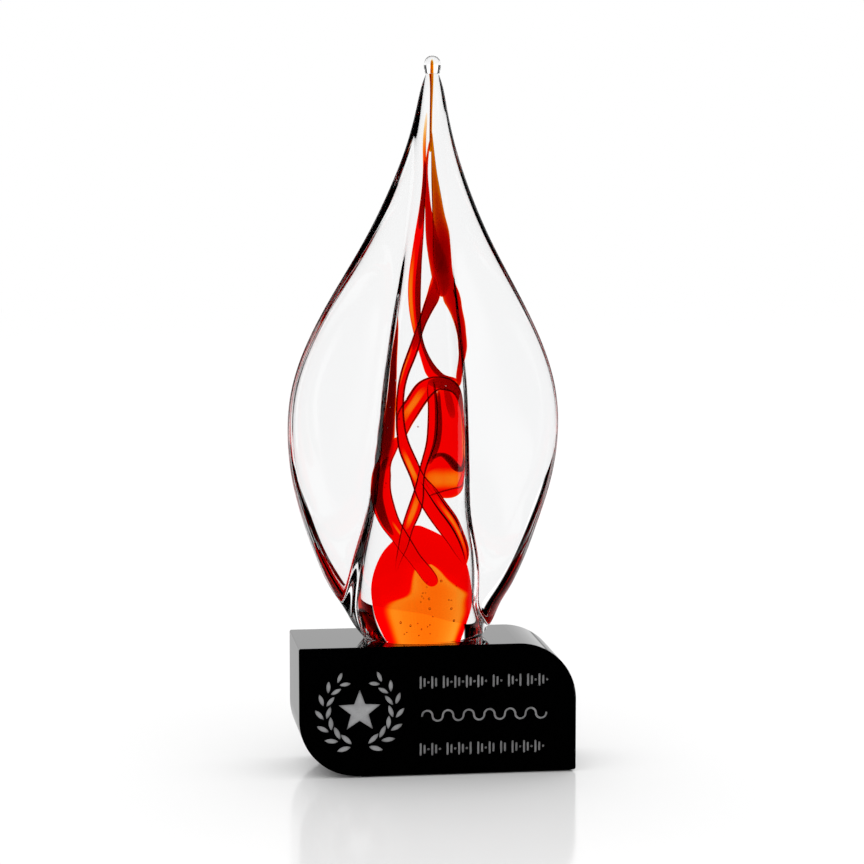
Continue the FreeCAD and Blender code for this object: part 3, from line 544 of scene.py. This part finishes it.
# Powers of the rounded outlines: the higher, the flatter between the ends and the squarer there.
END_SHARPNESS = 24
PART_SHARPNESS = 8
CLOSING_SHARPNESS = 3
GATHER_SHARPNESS = 24
LEAST_CLOSING = 0.0004      # so that a part's end rings don't shrink to a point
LEAST_DEPTH = 0.003         # mm
LEAST_HALF_SIZE = 0.01      # mm, where a strand tapers to nothing
FILM_SHARE = 0.06           # of the full thickness, where a strand begins as a film
SHADE_SKIN = 0.05           # mm of the strand's own glass outside a shade
EDGE_SKIN = 0.03
EDGE_REACH = 0.995          # of the half width
EDGE_END = 0.05             # stations left free at both ends
OVERLAY_SKIN = 0.20         # mm of overlay in front of the gather, and behind it
GATHER_GAP = 0.02
SIDE_THINNING = 0.6         # of that skin, which is lost at the gather's sides


def strand_rows(stations, level=False, film=0.0):
    """Points along a strand with their station number, directions and tapered half sizes."""
    last = len(stations) - 1
    rows = spline(stations, last * STEPS_PER_STATION)
    where = np.linspace(0, last, len(rows))
    along = np.gradient(rows[:, :3], axis=0)
    along /= np.linalg.norm(along, axis=1)[:, None]
    taper = np.clip(1 - np.abs(2 * where / last - 1) ** END_SHARPNESS, 0.0, 1) ** 0.5
    result = []
    for number, row, direction, end in zip(where, rows, along, taper):
        if level:
            across, deep = np.array((1.0, 0, 0)), np.array((0, -1.0, 0))
        else:
            across = np.cross(direction, (0, 1, 0))
            across /= np.linalg.norm(across)
            deep = np.cross(direction, across)
        swell = min(1.0, FILM_SHARE + (number / film) ** 2) if film else 1.0
        sizes = (max(row[3] / 2 * end, LEAST_HALF_SIZE),
                 max(row[4] / 2 * end * swell, LEAST_HALF_SIZE))
        result.append((number, row[:3], across, deep, *sizes))
    return result


def strand_rings(stations, level=False, film=0.0, around=48):
    """The strand's whole outside."""
    angle = turn_angles(around)[:, None]
    return np.array([(centre + np.cos(angle) * across * wide + np.sin(angle) * deep * thick) * MM
                     for _, centre, across, deep, wide, thick in strand_rows(stations, level, film)])


def part_rings(stations, begin, end, sides, skin=0.0, thickness=NO_LIMIT, level=False,
               around=36):
    """A lens-shaped part of a strand between two stations.

    sides gives its left and right edge as shares of the strand's half width, from that half
    width and how much of the part is done.  skin is the least glass left outside it, and
    thickness is the most that it measures from front to back.
    """
    angle = turn_angles(around)
    turn = np.cos(angle)
    rounding = front_and_back(angle, PART_SHARPNESS)
    rings = []
    for number, centre, across, deep, wide, thick in strand_rows(stations, level):
        if not begin <= number <= end:
            continue
        done = (number - begin) / (end - begin)
        closing = max(1 - abs(2 * done - 1) ** CLOSING_SHARPNESS, LEAST_CLOSING) ** 0.5
        low, high = sides(wide, done)
        share = (low + high) / 2 + (high - low) / 2 * closing * turn
        depth = np.minimum(thick * np.sqrt(1 - np.clip(share, -1, 1) ** 2) - skin, thickness / 2)
        depth = np.maximum(depth, LEAST_DEPTH) * closing * rounding
        rings.append((centre + np.outer(share * wide, across) + np.outer(depth, deep)) * MM)
    return np.array(rings)


def edge_rings(stations, width, right, level):
    """A dark cord along one edge of a strand."""
    last = len(stations) - 1

    def sides(wide, done):
        share = min(width / wide, MOST_EDGE)
        return (1 - share, EDGE_REACH) if right else (-EDGE_REACH, share - 1)

    return part_rings(stations, EDGE_END, last - EDGE_END, sides, skin=EDGE_SKIN, level=level)


def bulb_rings(around=96, steps=150):
    """Level elliptical rings of the colour bulb on the flame's foot."""
    angle = turn_angles(around)
    return np.array([
        np.stack([x + wide * np.cos(angle), deep * np.sin(angle),
                  np.full(around, FOOT / MM + height + OPTICAL_GAP / MM)], axis=1) * MM
        for x, height, wide, deep in spline(BULB_SECTIONS, steps)])


def gather_rings(skin, around=96, steps=150):
    """The clear gather follows the bulb's front and back, a thin skin of overlay below them."""
    angle = turn_angles(around)
    turn = np.cos(angle)
    rounding = front_and_back(angle, GATHER_SHARPNESS)
    skin_here = skin * (1 - SIDE_THINNING * turn ** 2)
    bulb = spline(BULB_SECTIONS, FINE_STEPS)
    rings = []
    for x, height, wide, _ in spline(GATHER_SECTIONS, steps):
        middle, bulb_wide, bulb_deep = [np.interp(height, bulb[:, 1], bulb[:, column])
                                        for column in (0, 2, 3)]
        place = x + (wide - skin) * turn
        inside = np.clip((place - middle) / bulb_wide, -0.999, 0.999)
        depth = np.maximum(bulb_deep * np.sqrt(1 - inside ** 2) - skin_here, 0.01) * rounding
        level = np.full(around, FOOT / MM + height + OPTICAL_GAP / MM * (1 + 2 * skin))
        rings.append(np.stack([place, depth, level], axis=1) * MM)
    return np.array(rings)


def make_core():
    """The coloured pieces inside the flame, with their dark lines and shades as two more."""
    finishes = {
        "orange_red_glass": coloured_glass("orange_red_glass", BRIGHT_RED, (1.0, 0.85, 0.8)),
        "red_glass": coloured_glass("red_glass", DEEP_RED, (1.0, 0.8, 0.75)),
        "amber_glass": coloured_glass("amber_glass", AMBER, (0.95, 0.85, 0.7)),
    }
    dark_ruby_and_crease_shade = coloured_glass("dark_ruby_glass_and_crease_shade", DARK_RUBY_AND_CREASE_SHADE, (0.9, 0.7, 0.7))
    tables = dict(STRANDS, red_panel=PANEL_SECTIONS)
    edges, shades = [], [(strand_rings(trail), False) for trail in TRAILS]
    for name, stations in tables.items():
        level = name == "red_panel"
        shells = [(strand_rings(stations, level, FILM_STARTS.get(name, 0.0)), False)]
        for begin, end, low, high, skin in HEARTS.get(name, ()):
            shells.append((part_rings(stations, begin, end, lambda wide, done: (low, high),
                                      skin=skin, level=level), True))
        for begin, end, low, high, lean, thickness in SHADES.get(name, ()):
            shades.append((part_rings(stations, begin, end,
                                      lambda wide, done: (low + lean * done, high + lean * done),
                                      skin=SHADE_SKIN, thickness=thickness, level=level), False))
        for width, right in zip(EDGES.get(name, (0, 0)), (False, True)):
            if width:
                edges.append((edge_rings(stations, width, right, level), False))
        add_core_piece(name + "_glass", shells, finishes[GLASSES[name]], GLASSES[name], name)
    add_core_piece("ruby_edges", edges, dark_ruby_and_crease_shade, "red_glass")
    # ruby_shades holds dark glass, and the painted crease shade of right_loop and low_strand.
    add_core_piece("ruby_shades", shades, dark_ruby_and_crease_shade, "red_glass")
    add_core_piece("colour_overlay_glass", [(bulb_rings(), False),
                                            (gather_rings(OVERLAY_SKIN), True)],
                   coloured_glass("overlay_glass", OVERLAY, (1.0, 0.97, 0.92)),
                   "overlay_glass", "colour_overlay")
    add_core_piece("first_gather_glass", [(gather_rings(OVERLAY_SKIN + GATHER_GAP), False)],
                   coloured_glass("gather_glass", GATHER, (1.0, 0.98, 0.95)),
                   "clear_gather", "first_gather")


def add_core_piece(name, shells, material, slot, *replaced):
    """A piece inside the flame, and the CAD nodes that it stands for."""
    piece = make_mesh(name, shells, material)
    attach(piece, "root")
    if replaced:
        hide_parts(*replaced)


# ------------------------------------------------------------------ seed bubbles
BUBBLE_SEED = 11
BULB_BUBBLES = 26
BULB_BUBBLE_RADII = (0.25, 0.28, 0.32, 0.45)
BULB_BUBBLE_HEIGHTS = (4, 26)       # mm above the flame's foot
BULB_BUBBLE_SPREAD = 0.8            # of the gather's half width
BULB_BUBBLE_DEPTHS = (-7, 3)
STRAY_BUBBLES = 14
STRAY_BUBBLE_RADII = (0.22, 0.25, 0.30)
STRAY_BUBBLE_HEIGHTS = (60, 130)
STRAY_BUBBLE_SPREAD = (-19, 4)
STRAY_BUBBLE_DEPTHS = (-4, 6)
BUBBLE_LENGTH = 1.2                 # of its width


def bubble_shell(centre, radius, around=12, levels=7):
    """Rings of one tiny bubble, a little longer than wide."""
    x, y, z = centre
    angle = turn_angles(around)
    steepest = math.pi / 2 - 0.2
    rings = []
    for slope in np.linspace(-steepest, steepest, levels):
        wide = radius * math.cos(slope)
        height = z + BUBBLE_LENGTH * radius * math.sin(slope)
        rings.append(np.stack([x + wide * np.cos(angle), y + wide * np.sin(angle),
                               np.full(around, height)], axis=1))
    return np.array(rings) * MM


def make_bubbles():
    """Seed bubbles: most in the clear gather, a few up the column."""
    chance = random.Random(BUBBLE_SEED)
    foot = FOOT / MM
    gather = np.array(GATHER_SECTIONS)
    shells = []
    for _ in range(BULB_BUBBLES):
        height = chance.uniform(*BULB_BUBBLE_HEIGHTS)
        middle, wide = [np.interp(height, gather[:, 1], gather[:, column]) for column in (0, 2)]
        place = (middle + BULB_BUBBLE_SPREAD * wide * chance.uniform(-1, 1),
                 chance.uniform(*BULB_BUBBLE_DEPTHS), foot + height)
        shells.append((bubble_shell(place, chance.choice(BULB_BUBBLE_RADII)), False))
    for _ in range(STRAY_BUBBLES):
        place = (chance.uniform(*STRAY_BUBBLE_SPREAD), chance.uniform(*STRAY_BUBBLE_DEPTHS),
                 foot + chance.uniform(*STRAY_BUBBLE_HEIGHTS))
        shells.append((bubble_shell(place, chance.choice(STRAY_BUBBLE_RADII)), False))
    add_core_piece("seed_bubbles", shells, seed_bubble_air(), "clear_gather")


# ------------------------------------------------------------------ CAD pieces with new finishes
def finish(node, material):
    """Give a CAD piece one material all over."""
    piece = nodes[node]
    if piece.data.materials:
        for index in range(len(piece.data.materials)):
            piece.data.materials[index] = material
    else:
        piece.data.materials.append(material)


def finish_cad_pieces():
    finish("plinth", black_crystal())
    fill = silver_fill()
    for node in ("star_fill", "wreath_fill", "upper_band_fill", "wave_fill", "lower_band_fill"):
        finish(node, fill)
    finish("felt_pad", black_felt())
    finish("glue_film", clear_glue())


# ------------------------------------------------------------------ studio
# The camera sees a plain white backdrop.  Through the glass the studio is white ahead and
# behind, with a grey strip at each side, and dark between them: the dark draws the outlines
# and creases of the clear glass.
MATT_LIGHT = 1.15               # for what is neither seen straight nor reflected nor through glass
THROUGH_GLASS = 1.30
# Bearings, in degrees from the camera's heading both ways, over which each light begins or ends.
BACKDROP_ENDS = (30, 33)
REAR_LIGHT_BEGINS = (140, 146)
REAR_LIGHT = 0.9
STRIP_BEARING = 95
STRIP_ENDS = (5, 9)
STRIP_LIGHT = 0.45
# Height in degrees over which the walls darken towards the ceiling.
CEILING_BEGINS = (35, 45)
CEILING_LIGHT = 0.15
MIRRORED_AHEAD = (0.2, 0.9)     # cosines of the angle from the camera's heading
FLOAT_A, FLOAT_B = 2, 3         # the mix node's two number inputs
# Floor: distances in metres along Y from below the plinth's middle.
FLOOR_REACH = 6.0
FLOOR_WHITE = (0.92, 0.92, 0.92, 1)
NEAR_GLOW_BEGINS = (-0.02, 0.10)
FAR_GLOW_FADES = (0.6, 1.2)
FAR_GLOW = (0.64, 0.15)
REAR_GLOW_BEGINS = (0.50, 0.75)
BACKDROP_BLENDS = (0.6, 2.5)


def make_floor():
    """A pale floor that glows in reflections and through glass, and blends into the backdrop."""
    reach = FLOOR_REACH
    mesh = bpy.data.meshes.new("floor")
    mesh.from_pydata([(-reach, -reach, 0), (reach, -reach, 0), (reach, reach, 0),
                      (-reach, reach, 0)], [], [(0, 1, 2, 3)])
    floor = bpy.data.objects.new("floor", mesh)
    scene.collection.objects.link(floor)
    material, tree, shader = new_material("floor", Base_Color=FLOOR_WHITE,
                                          Roughness=0.12, IOR=1.3)
    place = tree.add("ShaderNodeNewGeometry")
    parts = tree.add("ShaderNodeSeparateXYZ")
    tree.join(place.outputs["Position"], parts.inputs[0])
    along = parts.outputs["Y"]
    glow = tree.add("ShaderNodeEmission")
    near = tree.spread(along, *NEAR_GLOW_BEGINS, 0.0, 1.0)
    far = tree.spread(along, *FAR_GLOW_FADES, *FAR_GLOW)
    rays = tree.add("ShaderNodeLightPath")
    through = rays.outputs["Is Transmission Ray"]
    ahead = tree.value("MULTIPLY", near, tree.value("MAXIMUM", far, through))
    behind = tree.spread(tree.value("MULTIPLY", along, -1.0), *REAR_GLOW_BEGINS, 0.0, REAR_LIGHT)
    tree.join(tree.value("MAXIMUM", ahead, tree.value("MULTIPLY", behind, through)),
              glow.inputs["Strength"])
    choice = tree.add("ShaderNodeMixShader")
    tree.join(rays.outputs["Is Glossy Ray"], choice.inputs[0])
    tree.join(shader.outputs[0], choice.inputs[1])
    tree.join(glow.outputs[0], choice.inputs[2])
    backdrop = tree.add("ShaderNodeEmission")
    blend = tree.add("ShaderNodeMixShader")
    tree.join(tree.spread(along, *BACKDROP_BLENDS, 0.0, 1.0), blend.inputs[0])
    tree.join(choice.outputs[0], blend.inputs[1])
    tree.join(backdrop.outputs[0], blend.inputs[2])
    tree.join(blend.outputs[0], tree.tree.nodes["Material Output"].inputs["Surface"])
    mesh.materials.append(material)


def make_world():
    """The studio's walls, as the camera, the polished faces and the glass each see them."""
    world = bpy.data.worlds.new("studio")
    scene.world = world
    tree = Nodes(world)
    tree.tree.nodes.clear()
    place = tree.add("ShaderNodeTexCoord")
    parts = tree.add("ShaderNodeSeparateXYZ")
    tree.join(place.outputs["Generated"], parts.inputs[0])
    x, y, z = parts.outputs
    turn_cos, turn_sin = math.cos(VIEW_TURN), math.sin(VIEW_TURN)
    ahead = tree.value("ADD", tree.value("MULTIPLY", x, turn_sin), tree.value("MULTIPLY", y, turn_cos))
    aside = tree.value("SUBTRACT", tree.value("MULTIPLY", x, turn_cos),
                       tree.value("MULTIPLY", y, turn_sin))
    bearing = tree.value("ARCTAN2", tree.value("ABSOLUTE", aside), ahead)
    backdrop = tree.spread(bearing, *map(math.radians, BACKDROP_ENDS), 1.0, 0.0)
    behind = tree.spread(bearing, *map(math.radians, REAR_LIGHT_BEGINS), 0.0, REAR_LIGHT)
    off_strip = tree.value("ABSOLUTE", tree.value("SUBTRACT", bearing, math.radians(STRIP_BEARING)))
    strips = tree.spread(off_strip, *map(math.radians, STRIP_ENDS), STRIP_LIGHT, 0.0)
    rise = tree.value("ARCSINE", z)
    ceiling = tree.spread(rise, *map(math.radians, CEILING_BEGINS), 1.0, CEILING_LIGHT)
    lights = tree.value("ADD", tree.value("ADD", backdrop, behind), strips)
    through = tree.value("MULTIPLY", tree.value("MULTIPLY", lights, ceiling), THROUGH_GLASS)
    mirrored = tree.spread(ahead, *MIRRORED_AHEAD, 0.0, 1.0)
    rays = tree.add("ShaderNodeLightPath")
    # A ray through clear glass also counts as glossy, so the glass's choice comes after it.
    strength = MATT_LIGHT
    for ray, seen in (("Is Glossy Ray", mirrored), ("Is Transmission Ray", through),
                      ("Is Camera Ray", 1.0)):
        mix = tree.add("ShaderNodeMix", data_type="FLOAT")
        tree.join(rays.outputs[ray], mix.inputs[0])
        for slot, term in ((FLOAT_A, strength), (FLOAT_B, seen)):
            if isinstance(term, float):
                mix.inputs[slot].default_value = term
            else:
                tree.join(term, mix.inputs[slot])
        strength = mix.outputs[0]
    background = tree.add("ShaderNodeBackground")
    background.inputs["Color"].default_value = (1, 1, 1, 1)
    tree.join(strength, background.inputs["Strength"])
    output = tree.add("ShaderNodeOutputWorld")
    tree.join(background.outputs[0], output.inputs["Surface"])


def set_light_paths():
    """Enough bounces for glass inside glass, and plain colours."""
    scene.cycles.max_bounces = 32
    scene.cycles.transmission_bounces = 32
    scene.cycles.glossy_bounces = 12
    scene.view_settings.view_transform = "Standard"


make_camera()
make_world()
set_light_paths()
make_floor()
finish_cad_pieces()
make_flame()
make_core()
make_bubbles()
